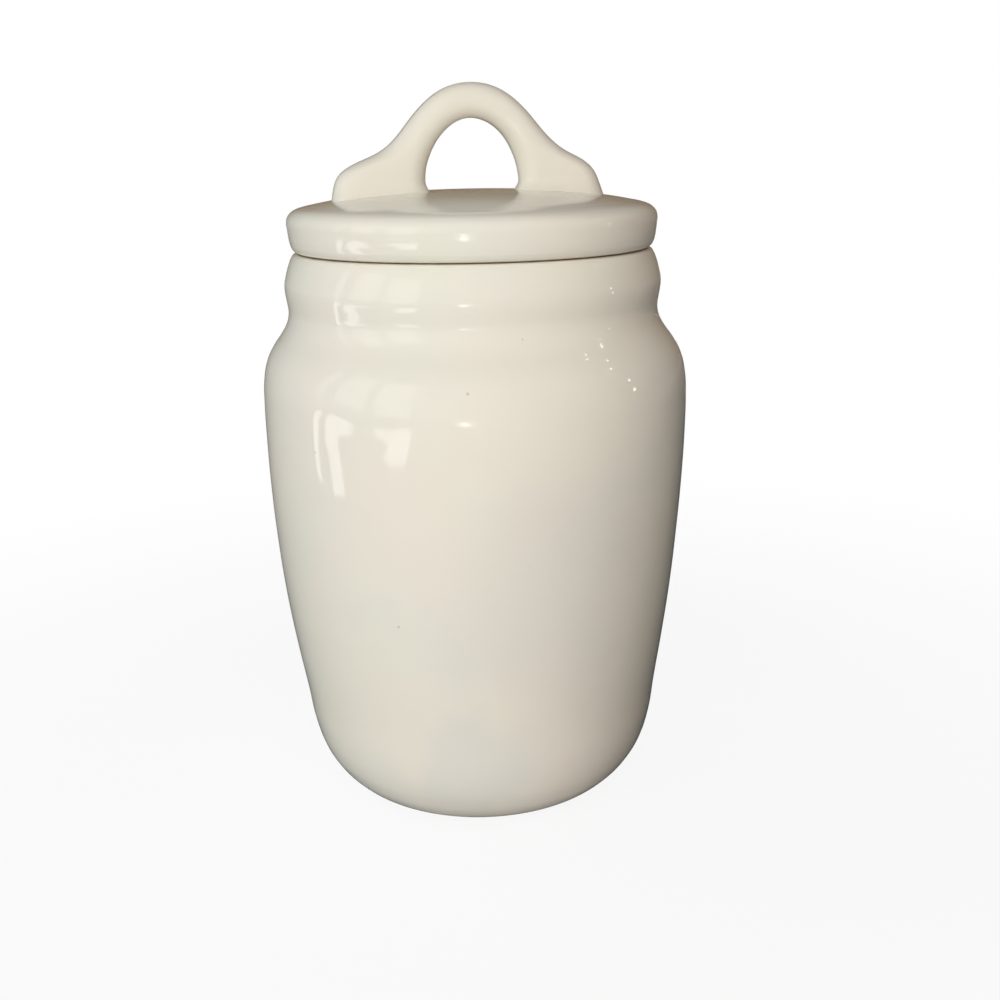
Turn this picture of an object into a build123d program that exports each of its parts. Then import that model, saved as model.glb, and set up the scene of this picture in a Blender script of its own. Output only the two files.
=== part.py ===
from build123d import *
import os

os.makedirs("parts", exist_ok=True)

# A lidded storage jar of glazed stoneware. Lengths are in millimetres.
# The jar stands on Z = 0 with its axis on Z, and the lid's arched handle runs along X.

# Jar, outside
jar_height = 151.4
foot_radius = 30.0
foot_width = 6.0
foot_recess = 1.5
heel_radius = 46.6
heel_height = 14.8
shoulder_radius = 57.5
shoulder_drop = 41.4
groove_drop = 15.9
bead_drop = 10.2
rim_round = 1.5

# Jar, inside
wall = 5.0
floor_thickness = 6.0
floor_flat_radius = 28.0
mouth_radius = 43.0
mouth_round = 0.9

# Thickness of the neck's wall, from the straight mouth out
groove_wall = 6.4
bead_wall = 7.35
rim_wall = 4.9

# Lid
lid_overhang = 1.1
lid_widest_height = 6.8
lid_height = 15.6
lid_seat_inset = 0.1
lid_edge_round = 1.4
plug_gap = 1.8
plug_depth = 12.0
plug_wall = 5.5
plug_round = 0.8
recess_height = 7.5
recess_round = 3.0

# Sealing ring and its groove round the plug
moving_gap = 0.3
ring_groove_drop = 3.0
ring_groove_height = 6.0
ring_groove_depth = 2.2
ring_back = 1.7
lip_count = 2
lip_root = 2.0
lip_tip = 0.5
lip_rise = 0.5

# Handle
handle_half_length = 35.5
handle_height = 26.9
handle_depth = 12.0
handle_band = 9.0
handle_round = 4.0
handle_sink = 5.0
handle_leg = 7.68
finger_gap_spring = 1.4

# Outline points as shares, each (across, up), of the stretch that they shape
heel_shares = [(0.36, 0.15), (0.66, 0.41), (0.87, 0.71)]
body_shares = [(0.175, 0.07), (0.30, 0.165), (0.505, 0.31), (0.70, 0.465), (0.845, 0.63), (0.945, 0.79)]
shoulder_shares = [(0.035, 0.32), (0.19, 0.525), (0.427, 0.663), (0.735, 0.796), (0.926, 0.906)]
neck_top_shares = [(0.35, 0.36), (0.72, 0.75)]
inner_heel_shares = [(0.62, 0.27)]
inner_shoulder_shares = [(0.03, 0.16), (0.10, 0.34), (0.24, 0.48), (0.48, 0.63), (0.76, 0.785), (0.94, 0.91)]
lid_side_shares = [(0.58, 0.42)]
lid_top_shares = [(0.992, 0.26), (0.970, 0.41), (0.929, 0.50), (0.852, 0.61), (0.745, 0.75), (0.60, 0.87), (0.40, 0.96)]
arch_side_share = 0.56
handle_shares = [
    (0.995, 0.03),
    (0.946, 0.167),
    (0.845, 0.26),
    (0.687, 0.357),
    (arch_side_share, 0.496),
    (0.408, 0.729),
    (0.283, 0.877),
    (0.18, 0.952),
]
round_limit_share = 0.45


def run(start, end, shares):
    """Points between start and end, each at its shares of the way across and up."""
    across, up = end[0] - start[0], end[1] - start[1]
    return [(start[0] + across * share_x, start[1] + up * share_y) for share_x, share_y in shares]


def smooth(points, start_direction, end_direction):
    """One smooth curve through the points, leaving and arriving in the given directions."""
    return Spline(*points, tangents=[start_direction, end_direction], tangent_scalars=[1, 1])


# Corners of the jar's outline, each (radius, height)
foot_edge = (foot_radius, 0)
heel = (heel_radius, heel_height)
shoulder = (shoulder_radius, jar_height - shoulder_drop)
groove = (mouth_radius + groove_wall, jar_height - groove_drop)
bead = (mouth_radius + bead_wall, jar_height - bead_drop)
rim_radius = mouth_radius + rim_wall
rim = (rim_radius, jar_height)
floor_height = foot_recess + floor_thickness
floor_edge = (floor_flat_radius, floor_height)
inner_heel = (heel_radius - wall, heel_height + wall / 2)
inner_shoulder = (shoulder_radius - wall, jar_height - shoulder_drop)
bore_foot = (mouth_radius, jar_height - groove_drop)
mouth = (mouth_radius, jar_height)

outer_points = [
    foot_edge,
    *run(foot_edge, heel, heel_shares),
    heel,
    *run(heel, shoulder, body_shares),
    shoulder,
    *run(shoulder, groove, shoulder_shares),
    groove,
    bead,
    *run(bead, rim, neck_top_shares),
    rim,
]
inner_points = [
    floor_edge,
    *run(floor_edge, inner_heel, inner_heel_shares),
    inner_heel,
    *run(inner_heel, inner_shoulder, body_shares),
    inner_shoulder,
    *run(inner_shoulder, bore_foot, inner_shoulder_shares),
    bore_foot,
]

# The jar: one thrown wall on a foot ring, with a bead and a groove round its neck
with BuildPart() as jar_body:
    with BuildSketch(Plane.XZ):
        with BuildLine():
            foot_inner_radius = foot_radius - foot_width
            Polyline((0, foot_recess), (foot_inner_radius, foot_recess), (foot_inner_radius, 0), foot_edge)
            smooth(outer_points, (1, 0.2), (-1, 1))
            Polyline(rim, mouth, bore_foot)
            smooth(inner_points, (1, 0), (0, 1))
            Polyline(floor_edge, (0, floor_height), (0, foot_recess))
        make_face()
    revolve(axis=Axis.Z)
    top_circles = jar_body.edges().filter_by(GeomType.CIRCLE).group_by(Axis.Z)[-1].sort_by(SortBy.RADIUS)
    fillet(top_circles[0], radius=mouth_round)
    top_circles = jar_body.edges().filter_by(GeomType.CIRCLE).group_by(Axis.Z)[-1].sort_by(SortBy.RADIUS)
    fillet(top_circles[-1], radius=rim_round)
jar_body.part.label = "jar_body"
export_step(jar_body.part, "parts/jar_body.step")

# Corners of the lid's outline, each (radius, height)
lid_radius = rim_radius + lid_overhang
lid_top_height = jar_height + lid_height
seat_edge = (rim_radius - lid_seat_inset, jar_height)
widest = (lid_radius, jar_height + lid_widest_height)
lid_top = (0, lid_top_height)
lid_side_points = [seat_edge, *run(seat_edge, widest, lid_side_shares), widest]
lid_crown_points = [
    widest,
    *run((0, widest[1]), (lid_radius, lid_top_height), lid_top_shares),
    lid_top,
]
plug_radius = mouth_radius - plug_gap
plug_bottom = jar_height - plug_depth
recess_radius = plug_radius - plug_wall
recess_top = jar_height + recess_height
ring_groove_radius = plug_radius - ring_groove_depth
ring_groove_top = jar_height - ring_groove_drop
ring_groove_bottom = ring_groove_top - ring_groove_height

# The lid: a thick crowned disc that rests on the rim, with a plug below that centres it in the mouth
with BuildPart() as lid:
    with BuildSketch(Plane.XZ):
        with BuildLine():
            smooth(lid_side_points, (0.2, 1), (0, 1))
            smooth(lid_crown_points, (0, 1), (-1, 0))
            Polyline(
                lid_top,
                (0, recess_top),
                (recess_radius, recess_top),
                (recess_radius, plug_bottom),
                (plug_radius, plug_bottom),
                (plug_radius, ring_groove_bottom),
                (ring_groove_radius, ring_groove_bottom),
                (ring_groove_radius, ring_groove_top),
                (plug_radius, ring_groove_top),
                (plug_radius, jar_height),
                seat_edge,
            )
        make_face()
    revolve(axis=Axis.Z)
    circles = lid.edges().filter_by(GeomType.CIRCLE)
    fillet(circles.filter_by_position(Axis.Z, plug_bottom, plug_bottom), radius=plug_round)
    circles = lid.edges().filter_by(GeomType.CIRCLE)
    fillet(circles.filter_by_position(Axis.Z, recess_top, recess_top).sort_by(SortBy.RADIUS)[-1], radius=recess_round)
    circles = lid.edges().filter_by(GeomType.CIRCLE)
    fillet(circles.filter_by_position(Axis.Z, jar_height, jar_height).sort_by(SortBy.RADIUS)[-1], radius=lid_edge_round)
lid.part.label = "lid"
export_step(lid.part, "parts/lid.step")

# What the crown leaves free: the lid without its hollow, to cut the handle's feet to the crown
with BuildPart() as crown:
    with BuildSketch(Plane.XZ):
        with BuildLine():
            smooth(lid_crown_points, (0, 1), (-1, 0))
            Polyline(lid_top, (0, jar_height), (lid_radius, jar_height), widest)
        make_face()
    revolve(axis=Axis.Z)

# The handle: a bell-shaped arch with spread feet, stuck on to the crown of the lid
handle_foot_height = lid_top_height - handle_sink
handle_top = (0, lid_top_height + handle_height)
right_side = [
    (handle_half_length, handle_foot_height),
    *run((0, lid_top_height), (handle_half_length, handle_top[1]), handle_shares),
]
left_side = [(-across, up) for across, up in reversed(right_side)]
finger_gap_half_width = handle_half_length * arch_side_share - handle_leg
gap_spring_height = lid_top_height + finger_gap_spring
gap_rise = handle_height - handle_band - finger_gap_spring

# The band's edges are rounded almost to a full round, as far as its width and depth allow
handle_rounding = min(handle_round, handle_band * round_limit_share, handle_depth * round_limit_share)

with BuildPart() as lid_handle:
    with BuildSketch(Plane.XZ):
        with BuildLine():
            smooth([*right_side, handle_top, *left_side], (0, 1), (0, -1))
            Line(left_side[-1], right_side[0])
        make_face()
        with BuildLine(mode=Mode.PRIVATE) as gap_outline:
            EllipticalCenterArc((0, gap_spring_height), finger_gap_half_width, gap_rise, arc_size=180)
            Polyline(
                (-finger_gap_half_width, gap_spring_height),
                (-finger_gap_half_width, handle_foot_height),
                (finger_gap_half_width, handle_foot_height),
                (finger_gap_half_width, gap_spring_height),
            )
        make_face(gap_outline.edges(), mode=Mode.SUBTRACT)
    extrude(amount=handle_depth / 2, both=True)
    flat_sides = lid_handle.faces().filter_by(Axis.Y)
    fillet(flat_sides.edges().filter_by(GeomType.LINE, reverse=True), radius=handle_rounding)
    add(crown.part, mode=Mode.SUBTRACT)
lid_handle.part.label = "lid_handle"
export_step(lid_handle.part, "parts/lid_handle.step")

# The sealing ring: a soft band in the plug's groove, with lips that reach towards the mouth's wall
ring_inner_radius = ring_groove_radius + moving_gap
ring_radius = ring_inner_radius + ring_back
lip_radius = mouth_radius - moving_gap
ring_bottom = ring_groove_bottom
ring_top = ring_groove_top - moving_gap
lip_pitch = (ring_top - ring_bottom) / lip_count

lip_points = []
for lip in range(lip_count):
    lip_foot = ring_bottom + lip_pitch * lip
    lip_middle = lip_foot + lip_pitch / 2
    lip_points += [
        (ring_radius, lip_middle - lip_root / 2),
        (lip_radius, lip_middle - lip_tip / 2 + lip_rise),
        (lip_radius, lip_middle + lip_tip / 2 + lip_rise),
        (ring_radius, lip_middle + lip_root / 2),
    ]

with BuildPart() as seal_ring:
    with BuildSketch(Plane.XZ):
        with BuildLine():
            Polyline(
                (ring_inner_radius, ring_bottom),
                (ring_radius, ring_bottom),
                *lip_points,
                (ring_radius, ring_top),
                (ring_inner_radius, ring_top),
                (ring_inner_radius, ring_bottom),
            )
        make_face()
    revolve(axis=Axis.Z)
seal_ring.part.label = "seal_ring"
export_step(seal_ring.part, "parts/seal_ring.step")
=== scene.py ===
# %% [markdown]
# # A glazed olive jar
# The real object is a thrown jar of about a litre: a tapered body on a foot ring, a neck with a groove and
# a soft bead, and a thick crowned lid with an arched handle. All of it but the rim and the foot is under a
# glossy cream glaze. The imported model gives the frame: every piece here is made round it, in metres, with
# the jar's axis on Z and the floor at Z = 0.

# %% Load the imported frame
import math

import bpy
from mathutils import Matrix, Vector


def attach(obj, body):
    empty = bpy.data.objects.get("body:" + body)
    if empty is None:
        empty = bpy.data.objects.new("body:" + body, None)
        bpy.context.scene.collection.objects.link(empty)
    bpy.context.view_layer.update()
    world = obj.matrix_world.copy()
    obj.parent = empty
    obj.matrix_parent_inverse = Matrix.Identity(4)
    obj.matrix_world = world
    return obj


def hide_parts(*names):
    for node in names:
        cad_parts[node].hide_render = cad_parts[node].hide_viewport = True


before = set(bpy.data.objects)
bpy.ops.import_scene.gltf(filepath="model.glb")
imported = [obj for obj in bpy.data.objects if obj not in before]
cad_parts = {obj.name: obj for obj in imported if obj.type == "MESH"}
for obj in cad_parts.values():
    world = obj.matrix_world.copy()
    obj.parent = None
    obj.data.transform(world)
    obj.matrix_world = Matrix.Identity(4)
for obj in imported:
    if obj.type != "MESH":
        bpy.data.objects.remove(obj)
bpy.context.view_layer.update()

mm = 0.001
metre_in_mm = 1000
bpy.context.scene.view_settings.view_transform = "Standard"


def in_mm(lengths):
    """Lengths in metres as rounded millimetres, for printing."""
    return [round(length * metre_in_mm, 2) for length in lengths]


# %% [markdown]
# ## The camera
# The photograph was taken from just above the lid, about 36 cm from the jar, tilted down by 15 degrees and
# rolled by one. Its place was worked out from the outlines of the jar: the lid's seam is an ellipse whose
# height gives the tilt, and the sides give the distance. The handle's left foot is nearer than its right
# one, so the camera also stands eight degrees round the jar from the handle's front.

# %% Set up the camera
camera_place = Vector((6.1, -360.95, 179.7)) * mm
camera_swing = math.radians(-8)
camera_tilt = math.radians(15.24)
camera_roll = math.radians(-1.0)
camera_lens = 47.88


def deselect():
    """Leaves nothing selected, because an operator acts on all that is."""
    bpy.ops.object.select_all(action="DESELECT")


def toward(azimuth, elevation=0):
    """The direction at this azimuth from the camera's own, positive to the right, both in degrees."""
    turn, rise = math.radians(azimuth) + camera_swing, math.radians(elevation)
    return Vector((math.sin(turn) * math.cos(rise), -math.cos(turn) * math.cos(rise), math.sin(rise)))


deselect()
round_the_jar = Matrix.Rotation(camera_swing, 4, "Z")
bpy.ops.object.camera_add(location=round_the_jar @ camera_place)
camera = bpy.context.object
camera.name = "studio_camera"
camera.data.lens = camera_lens
upright = Matrix.Rotation(math.radians(90) - camera_tilt, 4, "X")
camera.rotation_euler = (round_the_jar @ upright @ Matrix.Rotation(camera_roll, 4, "Z")).to_euler()
bpy.context.scene.camera = camera
print("camera at", in_mm(camera.location), "lens", round(camera.data.lens, 2))

# %% [markdown]
# ## The half outlines
# A thrown jar is round because the wheel turns it, so its whole shape is one half outline. The outline
# could be pulled up ring by ring from a circle, but a drawn curve is easier to correct against a
# photograph. Each run below is a smooth line through points given as (radius, height) in millimetres, and
# a corner is where two runs meet. The sizes are the CAD's own, apart from softened edges and small changes
# on the neck, where the photograph shows them.

# %% Set out the outline of the jar
jar_outside = [
    [(0, 1.5), (23.2, 1.5)],
    [(23.2, 1.5), (23.7, 1.3), (24.0, 0.6)],
    [(24.0, 0.6), (24.3, 0.12), (24.9, 0)],
    [(24.9, 0), (29.2, 0)],
    [(29.2, 0), (30.3, 0.25), (32.0, 0.85), (35.98, 2.25), (40.96, 6.07), (44.44, 10.51), (46.6, 14.8),
     (48.51, 21.46), (49.87, 30.51), (52.1, 44.31), (54.15, 59.07), (55.7, 74.78), (56.75, 90.01),
     (57.25, 104.0), (57.3, 112.0), (57.0, 118.16), (55.8, 123.39), (53.95, 126.91), (51.55, 130.3),
     (50.05, 133.0), (49.5, 135.1), (49.45, 136.8), (49.7, 138.6), (49.98, 140.3), (50.15, 141.8),
     (50.15, 143.4), (49.75, 145.4), (48.85, 148.5), (48.2, 150.0), (47.6, 150.85), (46.6, 151.3)],
    [(46.6, 151.3), (44.3, 151.32)],
]
jar_inside = [
    [(44.3, 151.32), (43.5, 151.1), (43.05, 150.3)],
    [(43.05, 150.3), (43.0, 146.0), (43.0, 136.5)],
    [(43.0, 136.5), (43.15, 134.9), (43.6, 133.2), (45.2, 130.0), (47.8, 126.6), (50.1, 122.3),
     (51.5, 118.0), (52.2, 112.5), (52.4, 106.0), (51.9, 90.53), (50.81, 75.7), (49.23, 60.41),
     (47.1, 46.04), (44.87, 32.6), (43.51, 23.79), (41.6, 17.3), (36.43, 10.15), (32.0, 8.2),
     (28.0, 7.55), (22.0, 7.5)],
    [(22.0, 7.5), (0, 7.5)],
]
print("jar outline", len(jar_outside), "runs outside and", len(jar_inside), "inside")

# %% [markdown]
# The points are made a curve, which rounds each run, and the curve is made a mesh of edges. Spin then turns
# the edges round the axis, as a potter's wheel does. A Screw modifier would do the same, but Spin leaves
# plain faces at once, and merging the doubled points closes the skin at the axis and at the seam.

# %% Throw the jar
merge_distance = 0.01 * mm
crease_angle = math.radians(40)


def draw_outline(name, runs, steps):
    """Draws a half outline in the XZ plane as a mesh of edges, with each run smooth and corners between."""
    deselect()
    bpy.ops.curve.primitive_bezier_curve_add(enter_editmode=False)
    drawn = bpy.context.object
    drawn.name = name
    drawn.data.splines.clear()
    drawn.data.resolution_u = steps
    for run in runs:
        line = drawn.data.splines.new("BEZIER")
        line.bezier_points.add(len(run) - 1)
        for knot, (radius, height) in zip(line.bezier_points, run):
            knot.co = (radius * mm, 0, height * mm)
            knot.handle_left_type = "AUTO"
            knot.handle_right_type = "AUTO"
    bpy.ops.object.convert(target="MESH")
    return bpy.context.object


def throw(name, runs, steps=6, segments=160):
    """Turns a half outline round the Z axis into one closed skin, smooth but for its corners."""
    piece = draw_outline(name, runs, steps)
    bpy.ops.object.mode_set(mode="EDIT")
    bpy.ops.mesh.select_all(action="SELECT")
    bpy.ops.mesh.remove_doubles(threshold=merge_distance)
    bpy.ops.mesh.spin(steps=segments, angle=math.tau, center=(0, 0, 0), axis=(0, 0, 1))
    bpy.ops.mesh.select_all(action="SELECT")
    bpy.ops.mesh.remove_doubles(threshold=merge_distance)
    bpy.ops.mesh.normals_make_consistent(inside=False)
    bpy.ops.object.mode_set(mode="OBJECT")
    bpy.ops.object.shade_smooth_by_angle(angle=crease_angle)
    return piece


jar = throw("thrown_jar", jar_outside + jar_inside)
print("jar", len(jar.data.polygons), "faces, size in mm", in_mm(jar.dimensions))

# %% [markdown]
# A wall that hands have pulled up is never quite straight: at some heights the real jar leans to the left
# by part of a millimetre. Moving rings by hand would leave steps, so a lattice of nine layers holds the
# jar, each layer is pushed sideways a little, and the wall between them follows smoothly.

# %% Let the wall wander
layer_wander = (-0.25, 0.0, -0.35, -0.45, -0.45, -0.2, 0.0, -0.3, 0.0)
points_across = 2
cage_width = 130 * mm
cage_height = 152 * mm


def apply(piece, modifier):
    """Applies a modifier, with its piece alone selected."""
    deselect()
    piece.select_set(True)
    bpy.context.view_layer.objects.active = piece
    bpy.ops.object.modifier_apply(modifier=modifier.name)


deselect()
bpy.ops.object.add(type="LATTICE", location=(0, 0, cage_height / 2))
cage = bpy.context.object
cage.data.points_u = cage.data.points_v = points_across
cage.data.points_w = len(layer_wander)
cage.scale = (cage_width, cage_width, cage_height)
for index, point in enumerate(cage.data.points):
    layer = index // points_across ** 2
    point.co_deform.x += layer_wander[layer] * mm / cage.scale.x
leaning = jar.modifiers.new("leaning", "LATTICE")
leaning.object = cage
apply(jar, leaning)
bpy.data.objects.remove(cage)
print("jar after the lattice, size in mm", in_mm(jar.dimensions))

# %% [markdown]
# ## The lid
# The lid is thrown too, upside down and thick, with a ring below it that centres it in the mouth. Its side
# pulls in to a narrow notch over the rim, which makes the dark line of the seam, and a groove round the
# ring holds the seal. The same half outline and wheel make it.

# %% Draw and turn the lid
lid_runs = [
    [(0, 166.6), (10.0, 166.5), (20.0, 166.1), (30.0, 165.3), (36.0, 164.55), (40.0, 163.9), (43.0, 163.32),
     (45.2, 162.85), (46.8, 162.3), (47.95, 161.5), (48.72, 160.4), (48.97, 159.2), (48.86, 157.5),
     (48.66, 155.8), (48.38, 154.2), (47.95, 152.8), (47.2, 151.85), (46.2, 151.45)],
    [(46.2, 151.45), (44.0, 151.4), (41.6, 151.4)],
    [(41.6, 151.4), (41.25, 151.1), (41.2, 150.4)],
    [(41.2, 150.4), (41.2, 148.4)],
    [(41.2, 148.4), (39.0, 148.4)],
    [(39.0, 148.4), (39.0, 142.4)],
    [(39.0, 142.4), (41.2, 142.4)],
    [(41.2, 142.4), (41.2, 140.3)],
    [(41.2, 140.3), (40.95, 139.65), (40.3, 139.4)],
    [(40.3, 139.4), (36.6, 139.4)],
    [(36.6, 139.4), (35.95, 139.65), (35.7, 140.3)],
    [(35.7, 140.3), (35.7, 155.9)],
    [(35.7, 155.9), (34.8, 158.0), (32.7, 158.9)],
    [(32.7, 158.9), (0, 158.9)],
]
lid = throw("thrown_lid", lid_runs)
print("lid", len(lid.data.polygons), "faces, size in mm", in_mm(lid.dimensions))

# %% [markdown]
# ## The handle
# The handle is a thick pulled strap, bent to a bell and stuck on to the crown. Its outline alone could be
# cut from a slab, but a strap has soft, round sides. So it is built as a row of rounded cross-sections,
# each from the finger gap's edge to the handle's outer edge, and the sections are bridged. The section at
# each end is wider and spreads on to the crown, where the glaze fills the corner.

# %% Set out the handle's sections
# Each section: its ends at the finger gap and at the outer edge as (out along X, height), its depth from
# front to back, and the rounding of its corners, in mm. They run from the foot up, and the two sides
# differ a little, as handwork does.
left_sections = [
    ((11.2, 168.0), (36.9, 168.0), 14.4, 5.4),
    ((12.1, 167.4), (36.25, 165.8), 12.3, 4.9),
    ((12.25, 168.1), (36.3, 168.2), 12.0, 4.9),
    ((12.2, 169.6), (34.9, 171.4), 12.0, 4.9),
    ((12.15, 170.9), (30.4, 174.0), 12.0, 4.9),
    ((11.9, 172.6), (25.2, 175.8), 12.0, 4.9),
    ((11.3, 174.6), (21.6, 178.1), 12.0, 4.8),
    ((10.4, 176.7), (18.45, 181.4), 12.0, 4.6),
    ((9.15, 179.1), (15.7, 185.0), 12.0, 4.2),
    ((7.15, 181.5), (12.3, 188.7), 12.0, 4.1),
    ((4.8, 183.45), (8.45, 191.7), 12.0, 4.1),
    ((2.35, 184.55), (4.3, 193.4), 12.0, 4.1),
]
right_sections = [
    ((11.7, 168.0), (35.2, 168.0), 14.4, 5.4),
    ((12.65, 167.4), (34.15, 166.0), 12.3, 4.9),
    ((12.8, 168.1), (34.05, 168.2), 12.0, 4.9),
    ((12.7, 169.6), (32.9, 171.2), 12.0, 4.9),
    ((12.5, 170.9), (29.8, 174.0), 12.0, 4.9),
    ((12.2, 172.6), (25.6, 175.8), 12.0, 4.9),
    ((11.6, 174.6), (22.2, 178.1), 12.0, 4.8),
    ((10.75, 176.7), (18.9, 181.4), 12.0, 4.6),
    ((9.55, 179.1), (16.05, 185.0), 12.0, 4.2),
    ((7.65, 181.5), (12.6, 188.7), 12.0, 4.1),
    ((5.2, 183.45), (8.6, 191.7), 12.0, 4.1),
    ((2.6, 184.55), (4.4, 193.4), 12.0, 4.1),
]
middle_section = ((0.0, 184.9), (0.0, 193.9), 12.0, 4.1)
print("handle sections", len(left_sections) + 1 + len(right_sections))

# %% [markdown]
# Each section starts as a plane. It is scaled to its width and depth, its four corners are rounded with
# Bevel, and it is turned and moved to its place. The faces are then deleted, which leaves rings of edges,
# and Bridge Edge Loops joins each ring to the next.

# %% Bridge the sections into the handle
corner_steps = 6
section_points = 4 * (corner_steps + 1)


def on_the_left(section):
    """A section measured outwards, set on the left of the jar's axis."""
    (gap_x, gap_z), (edge_x, edge_z), depth, rounding = section
    return ((-gap_x, gap_z), (-edge_x, edge_z), depth, rounding)


def add_section(section):
    """Adds one flat, rounded cross-section to the mesh being edited."""
    inner, outer, depth, rounding = section
    across = Vector(outer) - Vector(inner)
    middle = (Vector(outer) + Vector(inner)) / 2
    bpy.ops.mesh.select_all(action="DESELECT")
    bpy.ops.mesh.primitive_plane_add(size=1)
    bpy.ops.transform.resize(value=(across.length * mm, depth * mm, 1), center_override=(0, 0, 0))
    bpy.ops.mesh.bevel(offset=rounding * mm, affect="VERTICES", segments=corner_steps)
    slope = math.atan2(across.y, across.x)
    bpy.ops.transform.rotate(value=slope, orient_axis="Y", center_override=(0, 0, 0))
    bpy.ops.transform.translate(value=(middle.x * mm, 0, middle.y * mm))


deselect()
bpy.ops.mesh.primitive_plane_add(size=1)
handle = bpy.context.object
handle.name = "pulled_handle"
bpy.ops.object.mode_set(mode="EDIT")
bpy.ops.mesh.delete(type="VERT")
for section in [*map(on_the_left, left_sections), middle_section, *reversed(right_sections)]:
    add_section(section)
bpy.ops.mesh.select_all(action="SELECT")
bpy.ops.mesh.delete(type="ONLY_FACE")
bpy.ops.mesh.select_all(action="SELECT")
bpy.ops.mesh.bridge_edge_loops()
bpy.ops.object.mode_set(mode="OBJECT")
print("handle", len(handle.data.vertices), "points,", len(handle.data.polygons), "faces")

# %% [markdown]
# The two spread ends are pressed down on the crown with Shrinkwrap, then pushed a little into the lid and
# closed, so that the handle is one closed skin whose edge is hidden in the lid's clay.

# %% Fit the feet to the crown
glaze_sink = 0.06
feet = handle.vertex_groups.new(name="feet")
feet.add([*range(section_points)], 1, "REPLACE")
feet.add([*range(len(handle.data.vertices) - section_points, len(handle.data.vertices))], 1, "REPLACE")
pressing = handle.modifiers.new("pressing", "SHRINKWRAP")
pressing.target = lid
pressing.vertex_group = "feet"
pressing.wrap_method = "PROJECT"
pressing.use_project_z = True
pressing.use_negative_direction = True
pressing.offset = -glaze_sink * mm
apply(handle, pressing)
print("feet pressed on the crown,", 2 * section_points, "points")

# %% Close the feet and round the handle
hidden_foot = 1.2
rounding_levels = 2


def select_points(piece, wanted):
    """Selects the vertices for which wanted(vertex) is true, and goes into edit mode."""
    for part in (piece.data.polygons, piece.data.edges):
        part.foreach_set("select", [False] * len(part))
    piece.data.vertices.foreach_set("select", [wanted(vertex) for vertex in piece.data.vertices])
    bpy.ops.object.mode_set(mode="EDIT")
    bpy.ops.mesh.select_mode(type="VERT")


count = len(handle.data.vertices)
select_points(handle, lambda point: point.index < section_points or point.index >= count - section_points)
bpy.ops.mesh.extrude_region_move(TRANSFORM_OT_translate={"value": (0, 0, -hidden_foot * mm)})
bpy.ops.object.mode_set(mode="OBJECT")
for side in (-1, 1):
    select_points(handle, lambda point: point.index >= count and point.co.x * side > 0)
    bpy.ops.mesh.edge_face_add()
    bpy.ops.object.mode_set(mode="OBJECT")

bpy.ops.object.mode_set(mode="EDIT")
bpy.ops.mesh.select_all(action="SELECT")
bpy.ops.mesh.normals_make_consistent(inside=False)
bpy.ops.object.mode_set(mode="OBJECT")
rounding = handle.modifiers.new("rounding", "SUBSURF")
rounding.levels = rounding_levels
rounding.render_levels = rounding_levels
apply(handle, rounding)
bpy.ops.object.shade_smooth()
print("handle", len(handle.data.polygons), "faces, size in mm", in_mm(handle.dimensions))

# %% [markdown]
# ## The sealing ring
# A moulded silicone ring with two soft lips sits in the groove of the lid. It is round like the jar, so it
# is turned from a half outline in the same way.

# %% Draw and turn the sealing ring
lip_pitch = 2.85
lip_outline = [
    (41.0, 142.8), (41.75, 143.4), (42.45, 143.95), (42.68, 144.32), (42.45, 144.62), (41.75, 144.72),
    (41.0, 144.85)]
upper_lip = [(radius, height + lip_pitch) for radius, height in lip_outline]
seal_runs = [
    [(39.3, 145.2), (39.3, 142.9)],
    [(39.3, 142.9), (39.42, 142.52), (39.8, 142.4)],
    [(39.8, 142.4), (40.5, 142.4)],
    [(40.5, 142.4), (40.88, 142.52), (41.0, 142.8)],
    lip_outline,
    [lip_outline[-1], upper_lip[0]],
    upper_lip,
    [upper_lip[-1], (40.88, 147.98), (40.5, 148.1)],
    [(40.5, 148.1), (39.8, 148.1)],
    [(39.8, 148.1), (39.42, 147.98), (39.3, 147.6)],
    [(39.3, 147.6), (39.3, 145.2)],
]
seal = throw("moulded_seal", seal_runs, steps=4)
print("seal", len(seal.data.polygons), "faces, size in mm", in_mm(seal.dimensions))

# %% [markdown]
# ## Writing a finish
# A finish is a tree of shader nodes. The two classes below let it be written as sums: an output of a node
# can be added to or multiplied by a number or another output, and each sum adds its Math node.

# %% Write node trees as expressions
class Output:
    """One output of a node. Sums with it add the Math nodes that work them out."""

    def __init__(self, tree, socket):
        self.tree = tree
        self.socket = socket

    def sum(self, operation, *terms):
        return self.tree.add("ShaderNodeMath", {"operation": operation}, dict(enumerate(terms)))

    def __add__(self, other):
        return self.sum("ADD", self, other)

    def __sub__(self, other):
        return self.sum("SUBTRACT", self, other)

    def __rsub__(self, other):
        return self.sum("SUBTRACT", other, self)

    def __mul__(self, other):
        return self.sum("MULTIPLY", self, other)

    __radd__ = __add__
    __rmul__ = __mul__


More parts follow.
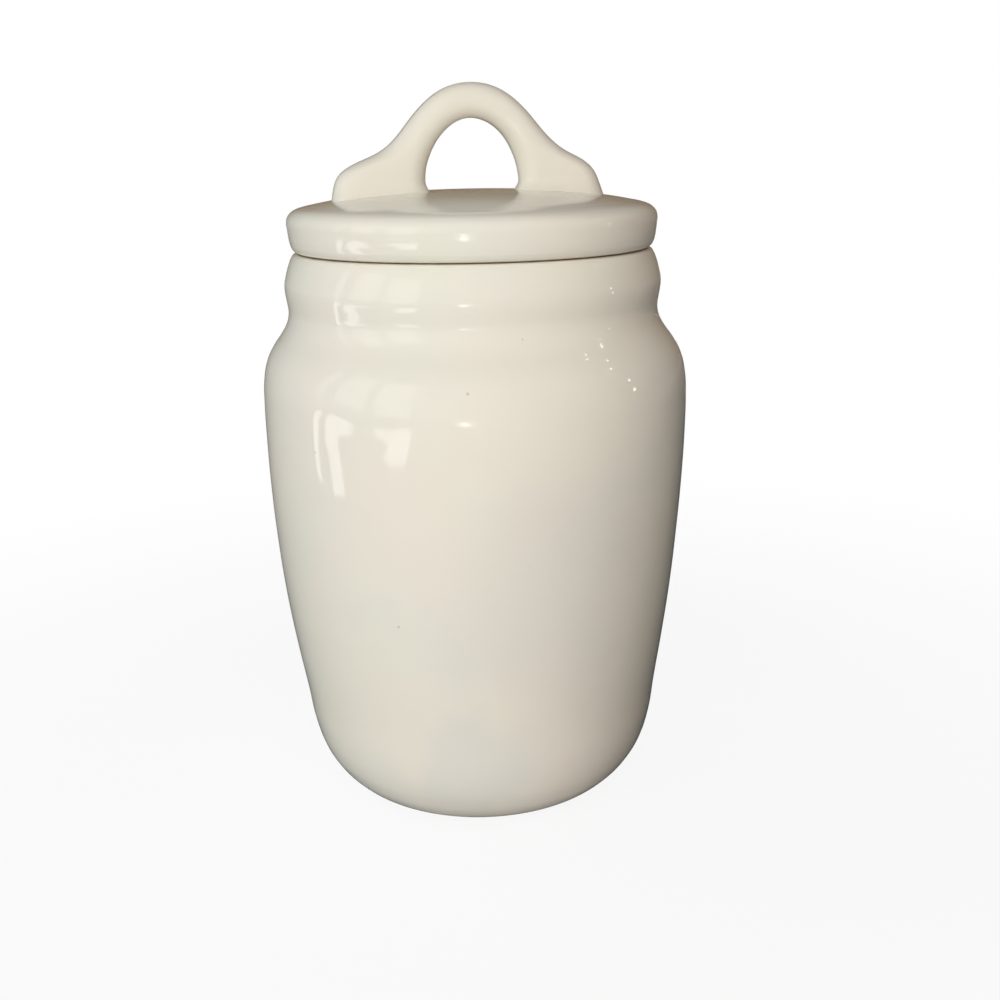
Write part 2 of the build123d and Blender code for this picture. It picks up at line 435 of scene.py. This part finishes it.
class Tree:
    """The node tree of a material or of the world."""

    def __init__(self, owner):
        owner.use_nodes = True
        self.nodes = owner.node_tree.nodes
        self.links = owner.node_tree.links
        self.nodes.clear()

    def add(self, kind, settings=None, values=None, output=0):
        """Adds a node: its settings first, then the value or link of each named socket."""
        node = self.nodes.new(kind)
        for name, setting in (settings or {}).items():
            setattr(node, name, setting)
        for name, value in (values or {}).items():
            if isinstance(value, Output):
                self.links.new(value.socket, node.inputs[name])
            else:
                node.inputs[name].default_value = value
        return Output(self, node.outputs[output]) if len(node.outputs) else None

    def fade(self, value, start, end):
        """0 where value is at start, 1 where it is at end, and smooth between."""
        return self.add("ShaderNodeMapRange", {"interpolation_type": "SMOOTHSTEP"},
                        {"Value": value, "From Min": start, "From Max": end})

    def blend(self, share, first, second):
        """The first colour, with this share of the second over it."""
        # A Mix node has sockets for each kind of value, and its colours are inputs 6 and 7 and output 2
        colour_sockets = {0: share, 6: first, 7: second}
        return self.add("ShaderNodeMix", {"data_type": "RGBA"}, colour_sockets, output=2)

    def seen_rays(self):
        """1 for rays from the camera, from a mirror and through glass, and 0 for rays that light things."""
        rays = [self.add("ShaderNodeLightPath", output=f"Is {kind} Ray")
                for kind in ("Camera", "Glossy", "Transmission")]
        return self.add("ShaderNodeClamp", {}, {"Value": sum(rays)})

    def noise(self, place, scale, detail=2.0, roughness=0.5):
        """Soft random values round 0.5, with this many blobs to the metre."""
        return self.add("ShaderNodeTexNoise", {},
                        {"Vector": place, "Scale": scale, "Detail": detail, "Roughness": roughness})


print("trees are written with", Tree.__name__, "and", Output.__name__)

# %% [markdown]
# ## The glaze
# The glaze is a millimetre of cream glass over buff clay: glossy, with a faint skin like orange peel, large
# pale clouds of pink, green and grey, and a few iron specks. A painted picture would repeat and stretch, so
# the pattern is worked out from each point's place on the object. Noise gives the clouds, and three wider
# drifts are set where the photograph shows them: a pinker tint of the glaze on the left, and painted shade,
# darker grey, at the lower right and low in front.

# %% Cloud the glaze
# Each cloud: tint, blobs to the metre, shift of its pattern, noise where it starts and is full, strength
clouds = [
    ((0.82, 0.715, 0.645, 1), 16, (0, 0, 0), 0.45, 0.7, 0.4),
    ((0.765, 0.755, 0.645, 1), 19, (0.31, 0.17, 0.05), 0.55, 0.75, 0.35),
    ((0.735, 0.715, 0.67, 1), 27, (0.53, 0.71, 0.29), 0.52, 0.74, 0.35),
]
# Each drift (the first two painted shade, the last a pink tint): azimuth from the camera, height and size
# in mm, tint, strength
tints_and_painted_shade = [
    # Painted shade: darker grey at the lower right, then low in front; the last row is the glaze's pinker
    # tint
    (18, 72, 42, (0.745, 0.69, 0.62, 1), 0.7),
    (0, 22, 26, (0.70, 0.67, 0.62, 1), 0.6),
    (-22, 88, 30, (0.815, 0.735, 0.645, 1), 0.6),
]
tint_and_shade_radius = 55 * mm
tint_and_shade_core = 0.3
edge_wander = 40
edge_blobs = 40


def clouded(tree, place, colour):
    """The colour with the clouds over it."""
    for tint, blobs, shift, start, full, strength in clouds:
        shifted = tree.add("ShaderNodeMapping", {}, {"Vector": place, "Location": shift})
        colour = tree.blend(tree.fade(tree.noise(shifted, blobs), start, full) * strength, colour, tint)
    return colour


def tinted_and_painted_shade(tree, place, colour):
    """The colour with the drifts' painted shade and pink tint over it, each round a middle near the wall
    and with a wandering edge.
    """
    for azimuth, level, size, tint, strength in tints_and_painted_shade:
        middle = toward(azimuth) * tint_and_shade_radius + Vector((0, 0, level * mm))
        ends = {0: place, 1: middle}
        away = tree.add("ShaderNodeVectorMath", {"operation": "DISTANCE"}, ends, output="Value")
        edge = away * metre_in_mm + (tree.noise(place, edge_blobs) - 0.5) * edge_wander
        colour = tree.blend(tree.fade(edge, size, size * tint_and_shade_core) * strength, colour, tint)
    return colour


print("clouds", len(clouds), "tints_and_painted_shade", len(tints_and_painted_shade))

# %% [markdown]
# Iron in the clay bleeds through as specks. Voronoi cells spread them evenly at random: each cell has one
# speck at its middle, and the cell's own random colour says how large it is.

# %% Speckle the glaze
iron_speck = (0.30, 0.22, 0.15, 1)
speck_cells = 115
speck_largest = 0.045
speck_edge = 0.012
speck_strength = 0.35


def speckled(tree, place, colour):
    """The colour with iron specks over it."""
    cells = {"Vector": place, "Scale": speck_cells}
    away = tree.add("ShaderNodeTexVoronoi", {}, cells)
    choice = tree.add("ShaderNodeTexVoronoi", {}, cells, output="Color")
    size = tree.add("ShaderNodeSeparateColor", {}, {"Color": choice}, output="Red") * speck_largest
    return tree.blend(tree.fade(away - size, speck_edge, -speck_edge) * speck_strength, colour, iron_speck)


print("speck cells to the metre", speck_cells)

# %% [markdown]
# Glaze runs thin and brown over the sharp edges at the seam, and that brown is made dark enough to be
# painted shade of the seam's dark line as well. The rim, the lid's seat and the foot ring are left bare so
# that they don't stick in the kiln. These places are bands round the axis, so they are found from a point's
# radius and height. A little noise makes their edges ragged, as a wiped edge is.

# %% Find the bands of bare clay, and of thin glaze with painted seam shade
# Each band: radius from and to, height from and to, in mm
foot_ring = (23.5, 30.2, -1, 0.5)
rim_seat = (44.0, 45.9, 150.9, 152)
# Brown thin glaze on the rim's edge, darkened as painted shade of the seam
rim_edge = (45.9, 46.5, 150.9, 151.6)
lid_seat = (41.0, 45.7, 151.0, 151.6)
# Brown thin glaze on the lid's lower edge, darkened as painted shade of the seam
lid_edge = (45.7, 46.4, 151.2, 151.6)
ragged_blobs = 220
ragged_width = 0.5


def in_bands(tree, place, bands, soft):
    """1 inside any of the bands and 0 outside, with edges as soft as given, in mm."""
    x, y, z = (tree.add("ShaderNodeSeparateXYZ", {}, {"Vector": place}, output=axis) for axis in "XYZ")
    height = z * metre_in_mm
    radius = tree.add("ShaderNodeMath", {"operation": "SQRT"}, {0: x * x + y * y}) * metre_in_mm
    ragged = radius + (tree.noise(place, ragged_blobs, detail=3) - 0.5) * ragged_width
    return sum(
        tree.fade(ragged, near - soft, near) * tree.fade(ragged, far + soft, far)
        * tree.fade(height, low - soft, low) * tree.fade(height, high + soft, high)
        for near, far, low, high in bands)


print("bands", foot_ring, rim_seat, rim_edge, lid_seat, lid_edge)

# %% [markdown]
# The finish puts these together from below: cream, clouds, specks, and the drifts of painted shade and pink
# tint, then the brown edges, darkened to paint the seam's shade too, and the clay. Bare clay is rough and
# gritty, and the glaze is nearly as smooth as glass. Its skin swells a little over some centimetres, which
# bends what it mirrors, and a Bump node gives that without moving the surface.

# %% Mix the glaze
cream = (0.80, 0.74, 0.64, 1)
thin_glaze_and_seam_shade = (0.36, 0.25, 0.15, 1)
bare_clay = (0.50, 0.40, 0.28, 1)
clay_grit = (0.60, 0.50, 0.37, 1)
thin_and_shade_softness, thin_and_shade_strength = 0.5, 0.75
bare_softness = 0.35
glass_roughness, roughness_range, clay_roughness = 0.035, 0.03, 0.65
gloss_blobs, grit_blobs, swell_blobs, peel_blobs = 60, 900, 70, 240
swell_share, peel_share, grit_share = 1.6, 0.12, 3.0
skin_depth = 0.06 * mm
glass_ior = 1.5


def glaze(name, bare_bands, thin_and_shaded_bands):
    """A glaze with bands of bare clay and of thin brown glaze that also paints the seam's shade."""
    material = bpy.data.materials.new(name)
    tree = Tree(material)
    place = tree.add("ShaderNodeTexCoord", output="Object")
    bare = in_bands(tree, place, bare_bands, bare_softness)
    thin_and_seam_shade = in_bands(tree, place, thin_and_shaded_bands, thin_and_shade_softness)
    grit = tree.noise(place, grit_blobs, detail=3)

    # Clouds and specks, then the painted shade and pink tint of the drifts
    colour = tinted_and_painted_shade(tree, place, speckled(tree, place, clouded(tree, place, cream)))
    # Thin brown glaze at the seam, dark enough to be painted seam shade too
    colour = tree.blend(thin_and_seam_shade * thin_and_shade_strength, colour, thin_glaze_and_seam_shade)
    colour = tree.blend(bare, colour, tree.blend(grit, bare_clay, clay_grit))
    roughness = glass_roughness + tree.noise(place, gloss_blobs) * roughness_range + bare * clay_roughness

    swell = tree.noise(place, swell_blobs, detail=1)
    peel = tree.noise(place, peel_blobs, detail=1)
    skin = swell * swell_share + peel * peel_share + bare * grit * grit_share
    bump = tree.add("ShaderNodeBump", {}, {"Height": skin, "Strength": 1.0, "Distance": skin_depth})
    shader = tree.add("ShaderNodeBsdfPrincipled", {}, {
        "Base Color": colour, "Roughness": roughness, "Normal": bump, "IOR": glass_ior})
    tree.add("ShaderNodeOutputMaterial", {}, {"Surface": shader})
    return material


jar_glaze = glaze("cream_glaze_jar", [foot_ring, rim_seat], [rim_edge])
lid_glaze = glaze("cream_glaze_lid", [lid_seat], [lid_edge])
handle_glaze = glaze("cream_glaze_handle", [], [])
print("glazes made:", jar_glaze.name, lid_glaze.name, handle_glaze.name)

# %% [markdown]
# ## The silicone
# The seal is milky silicone: satin and a little dusty. Silicone lets some light through, which a
# transmission share would give, but in so thin a ring in a groove, light that spreads below the surface
# looks the same and is quicker to render, so a subsurface share is used.

# %% Mix the silicone
milky, dusty = (0.60, 0.58, 0.53, 1), (0.70, 0.68, 0.64, 1)
dust_strength = 0.6
dust_blobs, dust_start, dust_full = 180, 0.45, 0.7
grain_blobs = 700
satin_roughness, dust_roughness = 0.38, 0.2
grain_depth = 0.05 * mm
silicone_ior = 1.41
spread_share, spread_depth = 0.3, 2 * mm

silicone = bpy.data.materials.new("milky_silicone")
tree = Tree(silicone)
place = tree.add("ShaderNodeTexCoord", output="Object")
dust = tree.fade(tree.noise(place, dust_blobs, detail=4), dust_start, dust_full)
colour = tree.blend(dust * dust_strength, milky, dusty)
grain = tree.noise(place, grain_blobs, detail=2)
bump = tree.add("ShaderNodeBump", {}, {"Height": grain, "Distance": grain_depth})
shader = tree.add("ShaderNodeBsdfPrincipled", {}, {
    "Base Color": colour, "Roughness": satin_roughness + dust * dust_roughness, "Normal": bump,
    "IOR": silicone_ior, "Subsurface Weight": spread_share, "Subsurface Scale": spread_depth})
tree.add("ShaderNodeOutputMaterial", {}, {"Surface": shader})
print("silicone made:", silicone.name)

# %% [markdown]
# ## Which piece moves with what
# Each piece stands for one solid of the imported model and rides on the same body as that solid. So the
# lid, its handle and the seal lift together, and the jar stays.

# %% Give each piece its finish and its body
# Each row: piece, body, the solid that it stands for, slot, material
dressed = [
    (jar, "jar", "jar_body", "cream_glaze", jar_glaze),
    (lid, "lid", "lid", "cream_glaze", lid_glaze),
    (handle, "lid", "lid_handle", "cream_glaze", handle_glaze),
    (seal, "seal", "seal_ring", "sealing_rubber", silicone),
]
for piece, body, node, slot, material in dressed:
    piece.data.materials.clear()
    piece.data.materials.append(material)
    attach(piece, body)
    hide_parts(node)
print("dressed", [piece.name for piece, *_ in dressed])

# %% [markdown]
# ## The floor and the background
# The photograph has plain white behind the jar. The floor and the world are white of themselves for the
# camera and for reflections, and the floor stays partly a lit surface, so that it keeps the jar's shadow.
# It throws light back up at the jar, but in the photograph the lower right of the jar is dark, so for light
# that bounces the floor is black there, close to the jar.

# %% Paint the floor
floor_grey, shaded_grey = (0.7, 0.7, 0.7, 1), (0.02, 0.02, 0.02, 1)
white = (1, 1, 1, 1)
plain_near, plain_from, plain_to = 0.9, 0.1, 0.4
shaded_side, shaded_start, shaded_full = 95, 0.02, 0.07
shaded_reach, shaded_core = 0.3, 0.15


def on_side(tree, place, azimuth, start, end):
    """1 beyond the distance end towards the azimuth, and 0 nearer than start, in metres."""
    sides = {0: place, 1: toward(azimuth)}
    along = tree.add("ShaderNodeVectorMath", {"operation": "DOT_PRODUCT"}, sides, output="Value")
    return tree.fade(along, start, end)


floor_paint = bpy.data.materials.new("pale_floor_paint")
tree = Tree(floor_paint)
place = tree.add("ShaderNodeTexCoord", output="Object")
distance = tree.add("ShaderNodeVectorMath", {"operation": "LENGTH"}, {"Vector": place}, output="Value")
plain_share = plain_near + tree.fade(distance, plain_from, plain_to) * (1 - plain_near)
pale = tree.add("ShaderNodeBsdfDiffuse", {}, {"Color": floor_grey})
shaded = tree.add("ShaderNodeBsdfDiffuse", {}, {"Color": shaded_grey})
lighting_ray = tree.add("ShaderNodeLightPath", output="Is Diffuse Ray")
near_right = on_side(tree, place, shaded_side, shaded_start, shaded_full)
near_right = near_right * tree.fade(distance, shaded_reach, shaded_core)
lit = tree.add("ShaderNodeMixShader", {}, {0: lighting_ray * near_right, 1: pale, 2: shaded})
plain = tree.add("ShaderNodeEmission", {}, {"Color": white, "Strength": 1.0})
shader = tree.add("ShaderNodeMixShader", {}, {0: tree.seen_rays() * plain_share, 1: lit, 2: plain})
tree.add("ShaderNodeOutputMaterial", {}, {"Surface": shader})
print("floor paint", floor_paint.name)

# %% Lay the floor and set the world
floor_size = 14
world_light = 0.02

deselect()
bpy.ops.mesh.primitive_plane_add(size=floor_size)
floor = bpy.context.object
floor.name = "pale_floor"
floor.data.materials.append(floor_paint)

world = bpy.data.worlds.new("studio_world")
bpy.context.scene.world = world
tree = Tree(world)
soft_light = tree.add("ShaderNodeBackground", {}, {"Color": white, "Strength": world_light})
white_back = tree.add("ShaderNodeBackground", {}, {"Color": white, "Strength": 1.0})
shader = tree.add("ShaderNodeMixShader", {}, {0: tree.seen_rays(), 1: soft_light, 2: white_back})
tree.add("ShaderNodeOutputWorld", {}, {"Surface": shader})
print("floor", floor.name, "world", world.name)

# %% [markdown]
# ## What the glaze mirrors
# A white jar on white loses its edges, because at a grazing angle the glaze mirrors the bright background.
# Photographers stand dark flags round such a jar. In the photograph its edges are dark and its lid mirrors
# a dim room, so a tent and a mat are set up here that only reflections see. They are dark in front, with a
# brown wall behind, a paler upper wall over it, bluish light on the left, and a mat that is brown at both
# sides.

# %% Paint the dim room
# Each glow: its colour, its sides as (azimuth, from, to, strength) and its heights as (from, to), in metres
room_dark, mat_dark = (0.038, 0.05, 0.052), (0.035, 0.045, 0.045)
brown_wall = ((0.21, 0.15, 0.09), [(140, -0.3, 0.5, 1)], [(1.9, 1.3)])
upper_wall = ((0.32, 0.29, 0.24), [(180, 0.3, 1.0, 1)], [(0.6, 1.0), (1.9, 1.3)])
bluish_light = ((0.13, 0.17, 0.18), [(-105, 0.9, 1.9, 1)], [])
brown_sides = ((0.27, 0.22, 0.18), [(60, 0.25, 0.5, 1), (-140, 0.1, 0.4, 0.5)], [])


def glow_share(tree, place, sides, heights):
    """How much of a glow there is: the sum of its sides, faded at its heights."""
    height = tree.add("ShaderNodeSeparateXYZ", {}, {"Vector": place}, output="Z")
    share = sum(
        on_side(tree, place, azimuth, start, end) * strength for azimuth, start, end, strength in sides)
    for start, end in heights:
        share = share * tree.fade(height, start, end)
    return share


def dim(name, dark, glows):
    """A dark glow with lighter ones over it."""
    material = bpy.data.materials.new(name)
    tree = Tree(material)
    place = tree.add("ShaderNodeTexCoord", output="Object")
    shader = tree.add("ShaderNodeEmission", {}, {"Color": (*dark, 1), "Strength": 1.0})
    for colour, sides, heights in glows:
        share = glow_share(tree, place, sides, heights)
        lighter = tree.add("ShaderNodeEmission", {}, {"Color": (*colour, 1), "Strength": 1.0})
        shader = tree.add("ShaderNodeMixShader", {}, {0: share, 1: shader, 2: lighter})
    tree.add("ShaderNodeOutputMaterial", {}, {"Surface": shader})
    return material


room_paint = dim("room_paint", room_dark, [brown_wall, upper_wall, bluish_light])
mat_paint = dim("mat_paint", mat_dark, [brown_sides])
print("dim paints", room_paint.name, mat_paint.name)

# %% Set up the dim room
tent_radius, mat_radius = 2.2, 2.1
mat_lift = 0.4 * mm


def mirrored_only(thing, material):
    """Makes a thing show in reflections alone, so that it neither lights nor shades anything."""
    thing.data.materials.append(material)
    thing.visible_camera = False
    thing.visible_diffuse = False
    thing.visible_transmission = False
    thing.visible_volume_scatter = False
    thing.visible_shadow = False


deselect()
bpy.ops.mesh.primitive_uv_sphere_add(segments=48, ring_count=24, radius=tent_radius)
tent = bpy.context.object
tent.name = "dim_room"
mirrored_only(tent, room_paint)
deselect()
bpy.ops.mesh.primitive_circle_add(vertices=64, radius=mat_radius, fill_type="NGON")
bpy.ops.object.mode_set(mode="EDIT")
bpy.ops.transform.translate(value=(0, 0, mat_lift))
bpy.ops.object.mode_set(mode="OBJECT")
mat = bpy.context.object
mat.name = "dim_mat"
mirrored_only(mat, mat_paint)
print("room", tent.name, mat.name)

# %% [markdown]
# The bright shapes in the glaze are windows on the left, a lamp with a halo near the camera and a string of
# small lamps on the right. An environment picture could hold them, but single faces are easier to place:
# each has its corners on a cylinder round the jar, given as (azimuth from the camera, height in mm). The
# windows' lower panes are bright, and the upper ones are weaker and bluish.

# %% Set out the panes of light
low_panes = {
    "window_square": [(-50.4, 61), (-45.5, 64), (-31, 65.5), (-29.5, 63), (-32.2, 31), (-33.2, 30.5),
                      (-40, 28.5), (-44.5, 32), (-41, 52.5), (-45, 60)],
    "window_wedge": [(-76, 77), (-70.5, 86), (-63.5, 71), (-60, 60.5), (-69, 58), (-70, 45.5), (-68.5, 30),
                     (-67.5, 8), (-75, 8.5), (-76, 30), (-78, 43), (-78, 58.5)],
    "window_slit": [(-83, 91), (-78.5, 88.5), (-82.3, 59.5), (-83.7, 37.5), (-83.2, 26.5), (-81.8, 18.5),
                    (-84, 19), (-86.3, 26), (-87, 37), (-86, 59)],
}
high_panes = {
    "upper_square": [(-46, 106), (-29, 108), (-27, 262), (-46, 255)],
    "upper_wedge": [(-69, 125), (-52, 120), (-50, 275), (-67, 285)],
    "upper_slit": [(-81, 125), (-76, 124), (-75, 270), (-80, 270)],
}
string_lamps = [(36, 392), (57, 487), (74, 393), (77, 344), (84, 286), (80, 256), (82, 168), (83, 129)]


def oval(azimuth, height, half_width, half_height, corners=12):
    """The outline of an oval, with its middle and its half sizes as (azimuth, height)."""
    turns = [math.tau * corner / corners for corner in range(corners)]
    return [
        (azimuth + half_width * math.cos(turn), height + half_height * math.sin(turn)) for turn in turns]


# Each pane: name, outline, strength, distance from the jar's axis in mm, colour
plain_light, blue_light = (1.0, 1.0, 0.97, 1), (0.90, 0.97, 1.0, 1)
panes = [(name, outline, 2.6, 320, plain_light) for name, outline in low_panes.items()]
panes += [(name, outline, 1.1, 240, blue_light) for name, outline in high_panes.items()]
panes += [
    ("bright_lamp", oval(-4, 81, 2.6, 7.5), 6.0, 320, plain_light),
    ("lamp_halo", oval(-3.4, 80, 6, 15), 1.4, 330, plain_light),
]
panes += [
    (f"string_lamp_{number}", oval(azimuth, height, 0.9, 5, corners=8), 9.0, 240, plain_light)
    for number, (azimuth, height) in enumerate(string_lamps)]
print("panes", [name for name, *_ in panes])

# %% Hang the panes
for name, outline, strength, distance, colour in panes:
    glow = bpy.data.materials.new(name + "_glow")
    tree = Tree(glow)
    shader = tree.add("ShaderNodeEmission", {}, {"Color": colour, "Strength": strength})
    tree.add("ShaderNodeOutputMaterial", {}, {"Surface": shader})
    deselect()
    bpy.ops.mesh.primitive_circle_add(vertices=len(outline), radius=1, fill_type="NGON")
    pane = bpy.context.object
    pane.name = name
    for corner, (azimuth, height) in zip(pane.data.vertices, outline):
        corner.co = (toward(azimuth) * distance + Vector((0, 0, height))) * mm
    mirrored_only(pane, glow)
print("panes hung", len(panes))

# %% [markdown]
# ## The lamps
# The light in the photograph is soft and comes from the front left, low, with little from the right. Large
# area lamps give soft light. They don't show in the glaze, because the panes do that. One lamp stands at
# the left and a little behind, for the jar's pale, bluish left edge, and one right behind it, so that its
# back doesn't go dark.

# %% Hang the lamps
jar_middle = Vector((0, 0, 95 * mm))
softbox_distance = 1.2
softbox_size = 1.0

# Each lamp: name, azimuth from the camera, elevation, how bright it alone makes white that faces it, colour
softboxes = [
    ("key_left", -30, 12, 0.54, (0.88, 0.96, 1.0)),
    ("key_front", 4, 12, 0.375, (1.0, 0.95, 0.90)),
    ("key_above", 0, 45, 0.34, (1.0, 1.0, 0.97)),
    ("back_left", -120, 12, 0.52, (0.86, 0.97, 1.0)),
    ("fill_right", 45, 15, 0.08, (1.0, 0.88, 0.74)),
    ("back_right", 177, 2, 0.55, (1.0, 0.97, 0.92)),
]
for name, azimuth, elevation, level, colour in softboxes:
    away = toward(azimuth, elevation)
    deselect()
    bpy.ops.object.light_add(type="AREA", location=jar_middle + away * softbox_distance)
    lamp = bpy.context.object
    lamp.name = name
    lamp.rotation_euler = away.to_track_quat("Z", "Y").to_euler()
    lamp.data.shape = "SQUARE"
    lamp.data.size = softbox_size
    lamp.data.energy = level * math.pi ** 2 * softbox_distance ** 2
    lamp.data.color = colour
    lamp.visible_camera = False
    lamp.visible_glossy = False
print("lamps", [name for name, *_ in softboxes])
